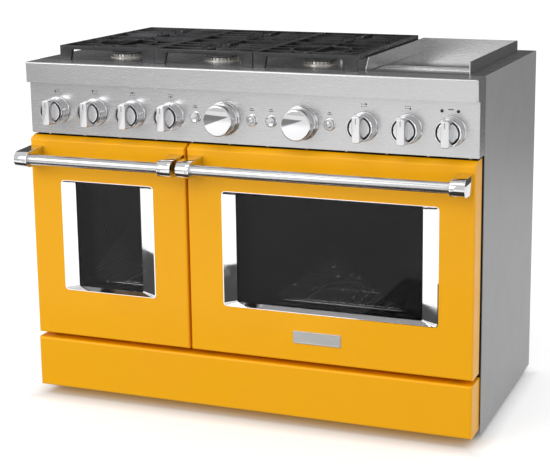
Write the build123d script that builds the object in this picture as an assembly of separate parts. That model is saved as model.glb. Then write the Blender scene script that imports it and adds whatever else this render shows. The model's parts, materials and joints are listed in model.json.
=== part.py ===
from build123d import *
import os

# Freestanding gas range, 1216 mm wide, with two drop-down oven doors, six burners and a griddle.
# Millimetres. +X is the range's right as seen from the front, the front faces -Y, +Z is up.
# The origin is on the floor, at the middle of the width and of the whole depth with its handles.

# Overall sizes
half_width = 608
back_y = 364
body_front_y = -206
deck_top_z = 911
grate_top_z = 950
sheet = 2

# Front faces, from the floor up
kick_face_y = -282
kick_bottom_z = 26
kick_top_z = 162
door_face_y = -278
door_back_y = -213
door_bottom_z = 175
door_slope_z = 706
door_slope_y = -256
door_top_z = 716
panel_face_y = -261
panel_bottom_z = 722
trim_face_y = -279
trim_bottom_z = 857
side_bottom_z = 9

# Doors: outer sides, and the window bezel's outer and inner rectangles
door_sides = {"left": (-604, -154), "right": (-147, 604)}
bezel_outer = {"left": (-516, -246, 302, 601), "right": (-53, 517, 302, 603)}
bezel_inner = {"left": (-480.5, -289.5, 311, 595), "right": (-20, 473, 311.5, 596)}
bezel_back_y = -264
bezel_rim = 1.2
glass_thickness = 4
inner_glass_front_y = -220
hinge_y = -266
hinge_z = 187
hinge_places = {"left": (-560, -198), "right": (-103, 560)}
pin_radius = 5

# Handles
handle_y = -344
handle_z = 665
handle_radius = 13.75
bracket_nose_radius = 20
bracket_width = 38
bracket_foot = 25
handle_ends = {"left": (-603, -154), "right": (-140, 600)}

# Ovens: the inside of each cavity
cavity_sides = {"left": (-544, -214), "right": (-96, 552)}
cavity_bottom_z = 235
cavity_top_z = 655
cavity_back_y = 254
frame_back_y = -203
insulation = 25
rack_levels = (298, 478)
guide_levels = (241, 298, 358, 418, 478, 538)
guide_height = 6
guide_depth = 8
rack_rim = 6
rack_wire_radius = 1.75
lamp_places = (-500, -46, 502)
lamp_z = 590

# Convection fan, on the middle of the right oven's back wall
fan_x = (cavity_sides["right"][0] + cavity_sides["right"][1]) / 2
fan_z = 445
fan_radius = 72
motor_radius = 32
shaft_radius = 4
baffle_front_y = 222
baffle_back_y = 224

# Controls
knob_z = 785
small_knob_places = {
    "knob_burner_1": -526,
    "knob_burner_2": -415,
    "knob_burner_3": -305,
    "knob_burner_4": -196,
    "knob_burner_5": 321,
    "knob_burner_6": 432,
    "knob_griddle": 540,
}
oven_knob_places = {"knob_left_oven": -49, "knob_right_oven": 160}
button_places = {"button_1": -128, "button_2": 27, "button_3": 79, "button_4": 233}
lens_places = (516, 556)
lens_z = 832
button_radius = 12.5
button_travel = 2
small_knob_radius = 33.5
oven_knob_radius = 39.5
knob_face_y = -306
spindle_radius = 4
bezel_front_y = -266
small_skirt_radius = 35.5
oven_skirt_radius = 43
panel_hole_radius = 7

# Services at the back
gas_inlet_x = -555
gas_inlet_z = 800
pipe_radius = 10.65
power_inlet_x = 330
power_inlet_z = 560
power_inlet_radius = 14.3

# Cooktop
grate_centres = {"grate_left": -399.5, "grate_centre": -124.5, "grate_right": 152.5}
grate_width = 275
grate_front_y = -218.6
grate_back_y = 301
grate_middle_y = 41
burner_rows = (-101, 183)
burner_row_names = ("front", "back")
griddle_sides = (296, 562)
griddle_front_y = -178
griddle_back_y = 334
griddle_top_z = 940
plate_top_z = 903
plate_front_y = -6
burner_base_radius = 46
burner_head_radius = 38
burner_cap_radius = 41
burner_head_top_z = 921
burner_cap_top_z = 928
grate_rail = 10
grate_bar = 8
vent_tab_pitch = 103.6

# How cones are placed: from their lower or upper end
low_middle = (Align.CENTER, Align.CENTER, Align.MIN)
top_middle = (Align.CENTER, Align.CENTER, Align.MAX)

os.makedirs("parts", exist_ok=True)


def block(x0, x1, y0, y1, z0, z1):
    """A box from its lowest and highest corners."""
    return Pos((x0 + x1) / 2, (y0 + y1) / 2, (z0 + z1) / 2) * Box(x1 - x0, y1 - y0, z1 - z0)


def rod_x(y, z, radius, x0, x1):
    """A round bar along X."""
    return Pos((x0 + x1) / 2, y, z) * Rot(0, 90, 0) * Cylinder(radius, x1 - x0)


def rod_y(x, z, radius, y0, y1):
    """A round bar along Y."""
    return Pos(x, (y0 + y1) / 2, z) * Rot(90, 0, 0) * Cylinder(radius, y1 - y0)


def rod_z(x, y, radius, z0, z1):
    """A round bar along Z."""
    return Pos(x, y, (z0 + z1) / 2) * Cylinder(radius, z1 - z0)


def front_edges(solid):
    """The edges that lie in a solid's frontmost face."""
    return solid.edges().group_by(Axis.Y)[0]


def save(solids, node):
    """Write one node: a single solid, or a group of separate ones."""
    shape = Compound(children=list(solids)) if isinstance(solids, (list, tuple)) else solids
    export_step(shape, f"parts/{node}.step")


def make_base_frame():
    """Welded rails under the ovens, with a floor pan on top and posts at the rear corners."""
    rail = 40
    low, high = 30, 70
    front = block(-600, 600, -200, -200 + rail, low, high)
    rear = block(-600, 600, 316, 316 + rail, low, high)
    sides = [block(x, x + rail, -200, 356, low, high) for x in (-600, 560)]
    middle = [block(x, x + rail, -200, 356, low, high) for x in (-175, 172)]
    pan = block(-600, 600, -200, 356, high, high + 2)
    posts = [block(x, x + 22, 330, 356, high, 900) for x in (-600, 578)]
    save(front + rear + sides + middle + pan + posts, "base_frame")


def make_feet():
    """Four levelling feet, each a round pad on a threaded stem with a lock nut."""
    feet = []
    for x in (-560, 560):
        for y in (-175, 330):
            pad = fillet(rod_z(x, y, 20, 0, 8).edges().group_by(Axis.Z)[-1], 2)
            stem = rod_z(x, y, 6, 8, 30)
            nut = Pos(x, y, 22) * extrude(RegularPolygon(11, 6), 6)
            feet.append(pad + stem + nut)
    save(feet, "levelling_feet")


def make_side_panels():
    """Grey outer side panels, with a return at the rear."""
    panels = []
    for side in (-1, 1):
        outer = side * half_width
        inner = side * (half_width - sheet)
        skin = block(min(outer, inner), max(outer, inner), body_front_y, back_y, side_bottom_z, deck_top_z)
        lip_end = side * (half_width - 14)
        lip = block(min(inner, lip_end), max(inner, lip_end), back_y - sheet, back_y, side_bottom_z, 900)
        panels.append(skin + lip)
    save(panels, "side_panels")


def make_back_panel():
    """The rear sheet, with rows of louvre slots, a gas inlet hole and a power inlet hole."""
    panel = block(-592, 592, back_y - sheet, back_y, 30, 905)
    slots = []
    for row in range(6):
        for column in range(9):
            x = -400 + column * 100
            z = 690 + row * 16
            if abs(x) > 40 or row < 3:
                slots.append(block(x - 35, x + 35, back_y - 3, back_y + 1, z, z + 6))
    for row in range(5):
        for column in range(4):
            x = -300 + column * 200
            z = 90 + row * 16
            slots.append(block(x - 60, x + 60, back_y - 3, back_y + 1, z, z + 6))
    gas_hole = rod_y(gas_inlet_x, gas_inlet_z, 30, back_y - 3, back_y + 1)
    power_hole = rod_y(power_inlet_x, power_inlet_z, power_inlet_radius, back_y - 3, back_y + 1)
    save(panel - slots - gas_hole - power_hole, "back_panel")


def make_kick_panel():
    """The coloured kick panel, a shallow pan with rounded front edges, open at the back."""
    outer = block(-604, 604, kick_face_y, body_front_y, kick_bottom_z, kick_top_z)
    outer = fillet(front_edges(outer), 6)
    low, high = kick_bottom_z + sheet, kick_top_z - sheet
    inner = block(-602, 602, kick_face_y + sheet, body_front_y + 1, low, high)
    save(outer - inner, "kick_panel")


def make_front_frame():
    """The plate that the doors close against, open at both oven cavities."""
    frame = block(-606, 606, body_front_y, frame_back_y, 165, panel_bottom_z)
    for left, right in cavity_sides.values():
        hole = block(left, right, body_front_y - 1, frame_back_y + 1, cavity_bottom_z, cavity_top_z)
        frame -= fillet(hole.edges().filter_by(Axis.Y), 8)
    save(frame, "oven_front_frame")


def make_oven_liner(side):
    """A cavity box, open at the front, with a front flange and rack guides pressed into its walls."""
    left, right = cavity_sides[side]
    low, high = cavity_bottom_z, cavity_top_z
    back = cavity_back_y + sheet
    outer = block(left - sheet, right + sheet, frame_back_y, back, low - sheet, high + sheet)
    inner = block(left, right, frame_back_y - 1, cavity_back_y, low, high)
    shell = fillet(outer.edges().filter_by(Axis.Y), 10) - fillet(inner.edges().filter_by(Axis.Y), 8)
    flange = block(left - 16, right + 16, frame_back_y, frame_back_y + sheet, low - 16, high + 16)
    flange -= block(left - 1, right + 1, frame_back_y - 1, frame_back_y + 3, low - 1, high + 1)
    shell += flange
    for level in guide_levels:
        for wall, step in ((left, guide_depth), (right, -guide_depth)):
            x0, x1 = sorted((wall, wall + step))
            shell += block(x0, x1, -180, 220, level - guide_height, level)
    if side == "right":
        shell -= rod_y(fan_x, fan_z, 6, cavity_back_y - 1, cavity_back_y + sheet + 1)
    save(shell, f"{side}_oven_liner")


def make_insulation():
    """Mineral wool jackets round the two cavities, open at the front."""
    jackets = []
    for side, (left, right) in cavity_sides.items():
        low, high = cavity_bottom_z - sheet, cavity_top_z + sheet
        front, back = frame_back_y + 6, cavity_back_y + sheet
        inner = block(left - sheet, right + sheet, front - 1, back, low, high)
        grown = sheet + insulation
        z0, z1 = low - insulation, high + insulation
        outer = block(left - grown, right + grown, front, back + insulation, z0, z1)
        jacket = outer - inner
        if side == "right":
            jacket -= rod_y(fan_x, fan_z, 46, back - 1, back + insulation + 1)
        jackets.append(jacket)
    save(jackets, "oven_insulation")


def make_racks():
    """Two racks in each oven: a square rim, a middle bearer and thin round top wires."""
    rim, wire = rack_rim, rack_wire_radius
    front, back = -173, 208
    middle = (front + back) / 2
    racks = []
    for left, right in cavity_sides.values():
        x0, x1 = left + 2, right - 2
        for level in rack_levels:
            rack = block(x0, x1, front, back, level, level + rim)
            rack -= block(x0 + rim, x1 - rim, front + rim, middle - rim / 2, level - 1, level + rim + 1)
            rack -= block(x0 + rim, x1 - rim, middle + rim / 2, back - rim, level - 1, level + rim + 1)
            count = round((x1 - x0) / 26)
            step = (x1 - x0) / count
            wires = [rod_y(x0 + i * step, level + rim, wire, front + 1, back - 1) for i in range(1, count)]
            racks.append(rack + wires)
    save(racks, "oven_racks")


def tube_loop(places, front, back, z, radius):
    """A round heater tube that runs to and fro along Y at the given X places."""
    points = []
    for index, x in enumerate(places):
        ends = (back, front) if index % 2 == 0 else (front, back)
        points.append((x, ends[0], z))
        points.append((x, ends[1], z))
    bend = abs(places[1] - places[0]) * 0.45
    path = FilletPolyline(*points, radius=bend)
    profile = Plane(origin=points[0], z_dir=(0, front - back, 0)) * Circle(radius)
    return sweep(profile, path=path)


def make_heating_elements():
    """A grill element and a floor element in each oven, and the element under the griddle plate."""
    tubes = []
    for left, right in cavity_sides.values():
        runs = 6 if right - left > 400 else 4
        gap = (right - left - 90) / (runs - 1)
        places = [left + 45 + i * gap for i in range(runs)]
        tubes.append(tube_loop(places, -150, 225, 641, 4))
        tubes.append(tube_loop(places, -150, 225, 243, 4))
    left, right = griddle_sides
    gap = (right - left - 60) / 5
    places = [left + 30 + i * gap for i in range(6)]
    tubes.append(tube_loop(places, plate_front_y + 24, griddle_back_y - 40, 884, 4))
    save(tubes, "heating_elements")


def make_lamps():
    """Oven lamps: a glass dome on a round holder against each cavity's back wall."""
    lamps = []
    for x in lamp_places:
        holder = rod_y(x, lamp_z, 26, cavity_back_y - 4, cavity_back_y)
        lens = rod_y(x, lamp_z, 20, cavity_back_y - 16, cavity_back_y - 4)
        lens = fillet(front_edges(lens), 8)
        lamps.append(holder + lens)
    save(lamps, "oven_lamps")


def make_fan():
    """The convection fan: a baffle plate in the cavity, a bladed wheel and the motor behind the wall."""
    baffle = block(fan_x - 110, fan_x + 110, baffle_front_y, baffle_back_y, fan_z - 110, fan_z + 110)
    baffle = fillet(baffle.edges().filter_by(Axis.Y), 20)
    slots = [rod_y(fan_x, fan_z, 9, baffle_front_y - 2, baffle_back_y + 2)]
    for ring, count in ((30, 8), (56, 14), (82, 20)):
        slots += [loc * Rot(90, 0, 0) * Cylinder(7, 6) for loc in ring_places(ring, count)]
    baffle = baffle - slots
    corners = [(sx * 92, sz * 92) for sx in (-1, 1) for sz in (-1, 1)]
    posts = [rod_y(fan_x + dx, fan_z + dz, 6, baffle_back_y, cavity_back_y) for dx, dz in corners]
    save(baffle + posts, "fan_baffle")

    hub = rod_y(fan_x, fan_z, 12, 230, 250)
    disc = rod_y(fan_x, fan_z, fan_radius, 246, 248)
    shaft = rod_y(fan_x, fan_z, shaft_radius, 228, 270)
    blade = block(20, fan_radius, 230, 247, -0.8, 0.8)
    blades = [Pos(fan_x, 0, fan_z) * Rot(0, 360 / 12 * i, 0) * blade for i in range(12)]
    wheel = disc + hub + shaft + blades
    save(wheel, "convection_fan")

    flange = rod_y(fan_x, fan_z, 42, cavity_back_y + sheet, cavity_back_y + sheet + 2)
    can = rod_y(fan_x, fan_z, motor_radius, cavity_back_y + sheet + 2, 302)
    can = fillet(can.edges().group_by(Axis.Y)[-1], 4)
    bore = rod_y(fan_x, fan_z, shaft_radius + 0.05, cavity_back_y, 271)
    save(flange + can - bore, "fan_motor")


def ring_places(radius, count):
    """Evenly spaced places on a circle round the fan's axis."""
    middle = Pos(fan_x, (baffle_front_y + baffle_back_y) / 2, fan_z)
    return [middle * Rot(0, 360 / count * i, 0) * Pos(radius, 0, 0) for i in range(count)]


def make_gaskets():
    """The woven seals round both cavity mouths, which the closed doors press against."""
    seals = []
    front = body_front_y - 6.2
    for left, right in cavity_sides.values():
        low, high = cavity_bottom_z, cavity_top_z
        outer = block(left - 26, right + 26, front, body_front_y, low - 20, high + 20)
        outer = fillet(outer.edges().filter_by(Axis.Y), 20)
        inner = block(left - 16, right + 16, front - 1, body_front_y + 1, low - 10, high + 10)
        inner = fillet(inner.edges().filter_by(Axis.Y), 12)
        ring = outer - inner
        seals.append(fillet(front_edges(ring), 2.5))
    save(seals, "oven_gaskets")


def make_hinge_arms():
    """Fixed arms that carry the doors' hinge pins in front of the oven frame."""
    arms = []
    for places in hinge_places.values():
        for x in places:
            bar = block(x - 3, x + 3, hinge_y, body_front_y, hinge_z - 8, hinge_z + 8)
            arm = bar + rod_x(hinge_y, hinge_z, 9, x - 3, x + 3)
            arms.append(arm - rod_x(hinge_y, hinge_z, pin_radius + 0.06, x - 4, x + 4))
    save(arms, "door_hinge_arms")


def hinge_slots(side):
    """The room that the fixed hinge arms need in a door's lower inside corner."""
    return [block(x - 4.5, x + 4.5, -275, -210, 170, 198) for x in hinge_places[side]]


def window_block(rectangle, y0, y1, grow, corner):
    """A block through the window, grown on all sides, with rounded corners."""
    x0, x1, z0, z1 = rectangle
    shape = block(x0 - grow, x1 + grow, y0, y1, z0 - grow, z1 + grow)
    return fillet(shape.edges().filter_by(Axis.Y), corner)


def door_block(side, back, inset):
    """A door's outer form, drawn in by the inset. Its top slopes up behind the front face."""
    x0, x1 = door_sides[side]
    front, low = door_face_y + inset, door_bottom_z + inset
    top = door_top_z - inset * 1.15
    points = [
        (back, low),
        (front, low),
        (front, door_slope_z - inset * 0.7),
        (door_slope_y, top),
        (back, top),
    ]
    plane = Plane(origin=(x0 + inset, 0, 0), x_dir=(0, 1, 0), z_dir=(1, 0, 0))
    profile = make_face(plane * Polyline(*points, close=True))
    return extrude(profile, x1 - x0 - 2 * inset, dir=(1, 0, 0))


def make_door(side):
    """One drop-down oven door, as separate shells, glass, bezel, hinges and handle."""
    x0, x1 = door_sides[side]
    skin_back = door_back_y - 3

    outer = door_block(side, skin_back, 0)
    outer = fillet(front_edges(outer), 5)
    inner = door_block(side, skin_back + 1, sheet)
    window = window_block(bezel_outer[side], door_face_y - 1, door_face_y + 3, 0, 10)
    save(outer - inner - window - hinge_slots(side), f"{side}_door_skin")

    view = bezel_inner[side]
    low, high = door_bottom_z, door_top_z - 2
    liner = block(x0, x1, skin_back, door_back_y, low, high)
    liner = fillet(liner.edges().filter_by(Axis.Y), 5)
    lip = block(x0 + 2, x1 - 2, skin_back - 22, skin_back, low + 2, high - 2)
    lip -= block(x0 + 4, x1 - 4, skin_back - 23, skin_back + 1, low + 4, high - 4)
    liner = liner + lip - window_block(view, skin_back - 1, door_back_y + 1, 6, 10)
    save(liner - hinge_slots(side), f"{side}_door_liner")

    ring = window_block(bezel_outer[side], door_face_y - 1, bezel_back_y, 0, 10)
    slope = bezel_slope(bezel_outer[side], view)
    straight = window_block(view, door_face_y - 2, bezel_back_y + 1, 0, 4)
    save(ring - slope - straight, f"{side}_window_bezel")

    pane = window_block(view, bezel_back_y, bezel_back_y + glass_thickness, 8, 6)
    inside_pane = window_block(view, inner_glass_front_y, inner_glass_front_y + 4, 16, 6)
    save([pane, inside_pane], f"{side}_door_glass")

    hinges = []
    for x in hinge_places[side]:
        pin = rod_x(hinge_y, hinge_z, pin_radius, x - 9, x + 9)
        cheeks = [block(x + a, x + a + 4, door_face_y + 2, -244, 179, 230) for a in (-9, 5)]
        hinges.append(pin + cheeks)
    save(hinges, f"{side}_door_hinges")
    make_handle(side)


def bezel_slope(outside, inside):
    """The sloped hole of a window bezel, from just inside its rim back to the glass."""
    loops = []
    front = (outside, door_face_y - 1.5, bezel_rim, 8)
    back = (inside, bezel_back_y - 1.5, 0, 4)
    for (x0, x1, z0, z1), y, cut, corner in (front, back):
        centre = ((x0 + x1) / 2, y, (z0 + z1) / 2)
        plane = Plane(origin=centre, x_dir=(1, 0, 0), z_dir=(0, -1, 0))
        loops.append(plane * RectangleRounded(x1 - x0 - 2 * cut, z1 - z0 - 2 * cut, corner))
    return loft(loops)


def make_handle(side):
    """A tubular handle between two round-nosed stand-off brackets."""
    start, end = handle_ends[side]
    tube_start, tube_end = start + bracket_width, end - bracket_width
    tube = rod_x(handle_y, handle_z, handle_radius, tube_start, tube_end)
    tube -= rod_x(handle_y, handle_z, handle_radius - sheet, tube_start - 1, tube_end + 1)
    save(tube, f"{side}_handle_bar")

    nose, foot = bracket_nose_radius, bracket_foot
    brackets = []
    for x in (start, end - bracket_width):
        outline = Polyline(
            (handle_y, handle_z - nose),
            (door_face_y - 10, handle_z - foot),
            (door_face_y, handle_z - foot),
            (door_face_y, handle_z + foot),
            (door_face_y - 10, handle_z + foot),
            (handle_y, handle_z + nose),
        )
        front = ThreePointArc(
            (handle_y, handle_z + nose), (handle_y - nose, handle_z), (handle_y, handle_z - nose)
        )
        profile = make_face(Plane(origin=(x, 0, 0), x_dir=(0, 1, 0), z_dir=(1, 0, 0)) * (outline + front))
        brackets.append(extrude(profile, bracket_width, dir=(1, 0, 0)))
    save(brackets, f"{side}_handle_brackets")


def make_nameplate():
    """A blank metal nameplate on the right door."""
    plate = block(138, 266, door_face_y - 2.5, door_face_y, 223.5, 256)
    plate = fillet(plate.edges().filter_by(Axis.Y), 2)
    save(chamfer(front_edges(plate), 0.8), "nameplate")


def make_control_panel():
    """The folded stainless panel, open at the back and top, with holes for every control."""
    panel = block(-half_width, half_width, panel_face_y, body_front_y, panel_bottom_z, trim_bottom_z)
    panel = fillet(panel.edges().group_by(Axis.Y)[0].filter_by(Axis.Z), 3)
    wide = half_width - sheet
    low = panel_bottom_z + sheet
    panel -= block(-wide, wide, panel_face_y + sheet, body_front_y + 1, low, trim_bottom_z + 1)
    holes = []
    for x in list(small_knob_places.values()) + list(oven_knob_places.values()):
        holes.append(rod_y(x, knob_z, spindle_radius + 2, panel_face_y - 1, panel_face_y + 3))
    for x in button_places.values():
        holes.append(rod_y(x, knob_z, panel_hole_radius, panel_face_y - 1, panel_face_y + 3))
    for x in lens_places:
        holes.append(rod_y(x, lens_z, 3, panel_face_y - 1, panel_face_y + 3))
    save(panel - holes, "control_panel")


def make_front_trim():
    """The rounded trim across the front of the cooktop."""
    trim = block(-half_width, half_width, trim_face_y, body_front_y, trim_bottom_z, deck_top_z)
    trim = fillet(trim.edges().group_by(Axis.Y)[0].filter_by(Axis.Z), 4)
    top_edge = trim.edges().group_by(Axis.Y)[0].sort_by(Axis.Z)[-1]
    trim = fillet(top_edge, 4)
    wide = half_width - sheet
    low, high = trim_bottom_z + sheet, deck_top_z - sheet
    trim -= block(-wide, wide, trim_face_y + sheet, body_front_y + 1, low, high)
    save(trim, "front_trim")


def make_knob_bezels():
    """A raised chrome ring on the panel behind each knob."""
    rings = []
    for places, radius in ((small_knob_places, 37), (oven_knob_places, 44)):
        for x in places.values():
            ring = rod_y(x, knob_z, radius, bezel_front_y, panel_face_y)
            ring = chamfer(front_edges(ring), 3)
            rings.append(ring - rod_y(x, knob_z, radius - 9, bezel_front_y - 1, panel_face_y + 1))
    for x in button_places.values():
        ring = rod_y(x, knob_z, button_radius + 3, panel_face_y - 3, panel_face_y)
        ring = fillet(front_edges(ring), 1)
        rings.append(ring - rod_y(x, knob_z, button_radius + 0.4, panel_face_y - 4, panel_face_y + 1))
    save(rings, "knob_bezels")


def make_lenses():
    """Two small indicator lenses, each with a stem through the panel."""
    lenses = []
    for x in lens_places:
        dome = fillet(front_edges(rod_y(x, lens_z, 4, panel_face_y - 2, panel_face_y)), 1)
        lenses.append(dome + rod_y(x, lens_z, 2.9, panel_face_y, panel_face_y + 8))
    save(lenses, "indicator_lenses")


def make_knob(node, x):
    """A burner knob: flared skirt, rim, recessed inner disc and a raised grip bar, on a spindle."""
    base_y = bezel_front_y - 0.6
    radius = small_knob_radius
    skirt = Cone(small_skirt_radius, radius, 22, align=low_middle)
    skirt = Pos(x, base_y, knob_z) * Rot(90, 0, 0) * skirt
    barrel = rod_y(x, knob_z, radius, knob_face_y, base_y - 22)
    barrel = chamfer(front_edges(barrel), 1.5)
    groove = rod_y(x, knob_z, radius - 4, knob_face_y - 1, knob_face_y + 5)
    groove -= rod_y(x, knob_z, radius - 11, knob_face_y - 2, knob_face_y + 6)
    grip = block(x - 9, x + 9, knob_face_y - 18, knob_face_y + 5, knob_z - radius + 1, knob_z + radius - 1)
    grip &= rod_y(x, knob_z, radius - 0.5, knob_face_y - 18, knob_face_y + 5)
    grip = fillet(front_edges(grip).filter_by(Axis.Z), 3)
    spindle = rod_y(x, knob_z, spindle_radius, base_y, -247)
    save(skirt + barrel - groove + grip + spindle, node)


def make_oven_knob(node, x):
    """An oven selector knob: wide skirt, plain barrel with a dished spun face, and an index mark."""
    base_y = bezel_front_y - 0.6
    radius = oven_knob_radius
    skirt = Cone(oven_skirt_radius, radius + 1, 10, align=low_middle)
    skirt = Pos(x, base_y, knob_z) * Rot(90, 0, 0) * skirt
    barrel = rod_y(x, knob_z, radius, knob_face_y, base_y - 10)
    barrel = chamfer(front_edges(barrel), 3)
    dish = Pos(x, knob_face_y, knob_z) * Rot(90, 0, 0) * Cone(4, radius - 6, 2, align=top_middle)
    mark = block(-1, 1, knob_face_y + 4, knob_face_y + 10, radius - 1, radius + 1)
    mark = Pos(x, 0, knob_z) * Rot(0, 55, 0) * mark
    spindle = rod_y(x, knob_z, spindle_radius, base_y, -247)
    save(skirt + barrel - dish + mark + spindle, node)


def make_button(node, x):
    """A round push button with a domed face and a stem through the panel."""
    cap = rod_y(x, knob_z, button_radius, panel_face_y - 8, panel_face_y - button_travel - 0.5)
    cap = fillet(front_edges(cap), 2)
    stem = rod_y(x, knob_z, 5, panel_face_y - button_travel - 0.5, panel_face_y + 10)
    save(cap + stem, node)


def make_vent_trim():
    """The dark oven vent under the control panel, with short tabs along its front edge."""
    plate = block(-604, 604, -257, body_front_y, panel_bottom_z - 1.5, panel_bottom_z)
    for index in range(12):
        x = -554 + index * vent_tab_pitch
        plate += block(x - 3.5, x + 3.5, -259, -257, panel_bottom_z - 2.8, panel_bottom_z)
    save(plate, "vent_trim")


def make_gas_manifold():
    """The gas pipe behind the control panel, its burner valves and the rear inlet stub."""
    pipe = rod_x(-196, knob_z, 11, -590, 452)
    for node, x in small_knob_places.items():
        if node != "knob_griddle":
            pipe += block(x - 14, x + 14, -246, -205, knob_z - 16, knob_z + 16)
            pipe += rod_y(x, knob_z, 8, -206, -196)
    inlet_x, inlet_z = gas_inlet_x, gas_inlet_z
    pipe += block(inlet_x - 14, inlet_x + 14, -212, -180, knob_z - 14, inlet_z + 14)
    pipe += rod_y(inlet_x, inlet_z, pipe_radius, -181, 361)
    pipe += rod_y(inlet_x, inlet_z, 15, 316, 331)
    save(pipe, "gas_manifold")


def make_burners():
    """Six burners: a ported head on a wide base with its tube, an igniter beside it, and a cap."""
    heads = []
    caps = []
    for x in grate_centres.values():
        for y in burner_rows:
            base = rod_z(x, y, burner_base_radius, deck_top_z, deck_top_z + 3)
            base = fillet(base.edges().group_by(Axis.Z)[-1], 1.2)
            head = rod_z(x, y, burner_head_radius, deck_top_z + 3, burner_head_top_z)
            port = block(30, 40, -1.6, 1.6, deck_top_z + 4.5, burner_head_top_z + 0.5)
            head -= [Pos(x, y, 0) * Rot(0, 0, 360 / 24 * i) * port for i in range(24)]
            tube = rod_z(x, y, 20, 885, deck_top_z)
            heads.append(base + head + tube)
            igniter = rod_z(x + 50, y + 12, 3.2, deck_top_z, 919) + rod_z(x + 50, y + 12, 1, 919, 923)
            heads.append(igniter)
            cap = rod_z(x, y, burner_cap_radius, burner_head_top_z, burner_cap_top_z)
            caps.append(fillet(cap.edges().group_by(Axis.Z)[-1], 4))
    save(heads, "burner_heads")
    save(caps, "burner_caps")


def make_deck():
    """The stainless cooktop deck, with burner holes and the griddle's cut-out."""
    deck = block(-606, 606, body_front_y, back_y - sheet, deck_top_z - 2.5, deck_top_z)
    for x in grate_centres.values():
        for y in burner_rows:
            deck -= rod_z(x, y, 20.5, deck_top_z - 4, deck_top_z + 1)
    left, right = griddle_sides
    front, back = griddle_front_y - 1, griddle_back_y + 1
    deck -= block(left - 1, right + 1, front, back, deck_top_z - 4, deck_top_z + 1)
    save(deck, "cooktop_deck")


def make_griddle():
    """The griddle: a splash frame with three walls, a polished plate and a lift-out grease tray."""
    left, right = griddle_sides
    front, back = griddle_front_y, griddle_back_y
    wall = 2.5
    low = 878
    frame = block(left, left + wall, front, back, low, griddle_top_z)
    frame += block(right - wall, right, front, back, low, griddle_top_z)
    frame += block(left, right, back - wall, back, low, griddle_top_z)
    frame += block(left, right, front, front + wall, low, deck_top_z - 1)
    frame += block(left, right, plate_front_y - 2, plate_front_y, low, plate_top_z - 3)
    for x0 in (left + wall, right - wall - 14):
        frame += block(x0, x0 + 14, plate_front_y, back - wall, plate_top_z - 14, plate_top_z - 12)
        frame += block(x0, x0 + 14, front + wall, plate_front_y - 2, 893, 895)
    hem_low = deck_top_z - 5
    hem = block(left - 12, right + 12, front - 12, back + 12, hem_low, deck_top_z - 2.5)
    hem -= block(left, right, front, back, hem_low - 1, deck_top_z)
    frame += hem
    cut_top = griddle_top_z + 1
    corner = [(front - 1, deck_top_z), (front - 1, cut_top), (front + 25, cut_top)]
    plane = Plane(origin=(left - 1, 0, 0), x_dir=(0, 1, 0), z_dir=(1, 0, 0))
    frame -= extrude(make_face(plane * Polyline(*corner, close=True)), wall + 2, dir=(1, 0, 0))
    save(frame, "griddle_frame")

    plate = block(left + wall + 0.5, right - wall - 0.5, plate_front_y, back - wall - 0.5, 891, plate_top_z)
    save(chamfer(plate.edges().group_by(Axis.Z)[-1], 1), "griddle_plate")

    tray_left, tray_right = left + wall + 1.5, right - wall - 1.5
    tray_front, tray_back = front + wall + 1.5, plate_front_y - 3.5
    tray = block(tray_left, tray_right, tray_front, tray_back, 895, 906)
    tray -= block(tray_left + 3, tray_right - 3, tray_front + 22, tray_back - 14, 897, 907)
    tray -= block(tray_left + 1.5, tray_right - 1.5, tray_front + 12, tray_front + 23, 903, 907)
    tray -= block(tray_left - 1, tray_right + 1, tray_back - 15, tray_back + 1, 902.5, 907)
    save(tray, "grease_tray")


def make_grate(node, centre):
    """A cast grate over two burners. The outer grates have a ring over the front burner."""
    left, right = centre - grate_width / 2, centre + grate_width / 2
    front, back = grate_front_y, grate_back_y
    top = grate_top_z
    rail, bar = grate_rail, grate_bar
    grate = block(left, right, front, front + rail, top - 10, top)
    grate += block(left, right, back - rail, back, top - 10, top)
    grate += block(left, left + rail, front, back, top - 13, top)
    grate += block(right - rail, right, front, back, top - 13, top)
    grate += block(left, right, grate_middle_y - bar / 2, grate_middle_y + bar / 2, top - 13, top)
    for y in (front, back - rail):
        plane = Plane(origin=(0, y, 0), x_dir=(1, 0, 0), z_dir=(0, -1, 0))
        for x, lean in ((left, 1), (right, -1)):
            upper, lower = x + lean * 37, x + lean * 30
            points = [(x, top - 8), (upper, top - 8), (lower, deck_top_z), (x, deck_top_z)]
            grate += extrude(make_face(plane * Polyline(*points, close=True)), rail, dir=(0, 1, 0))
    for y, row in zip(burner_rows, burner_row_names):
        near, far = (front, grate_middle_y) if row == "front" else (grate_middle_y, back)
        ringed = row == "front" and node != "grate_centre"
        if ringed:
            band = rod_z(centre, y, 80, top - 12, top) - rod_z(centre, y, 72, top - 13, top + 1)
            grate += band
            grate += block(centre - bar / 2, centre + bar / 2, near, far, top - 10, top)
        else:
            grate += block(centre - bar / 2, centre + bar / 2, near, y - 42, top - 10, top)
            grate += block(centre - bar / 2, centre + bar / 2, y + 42, far, top - 10, top)
        for offset in (-54, 0, 54):
            reach = (78 ** 2 - offset ** 2) ** 0.5 if ringed else (42 if offset == 0 else 26)
            for x0, x1 in ((left + 1, centre - reach), (centre + reach, right - 1)):
                grate += block(x0, x1, y + offset - bar / 2, y + offset + bar / 2, top - 12, top)
    save(grate, node)


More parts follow.
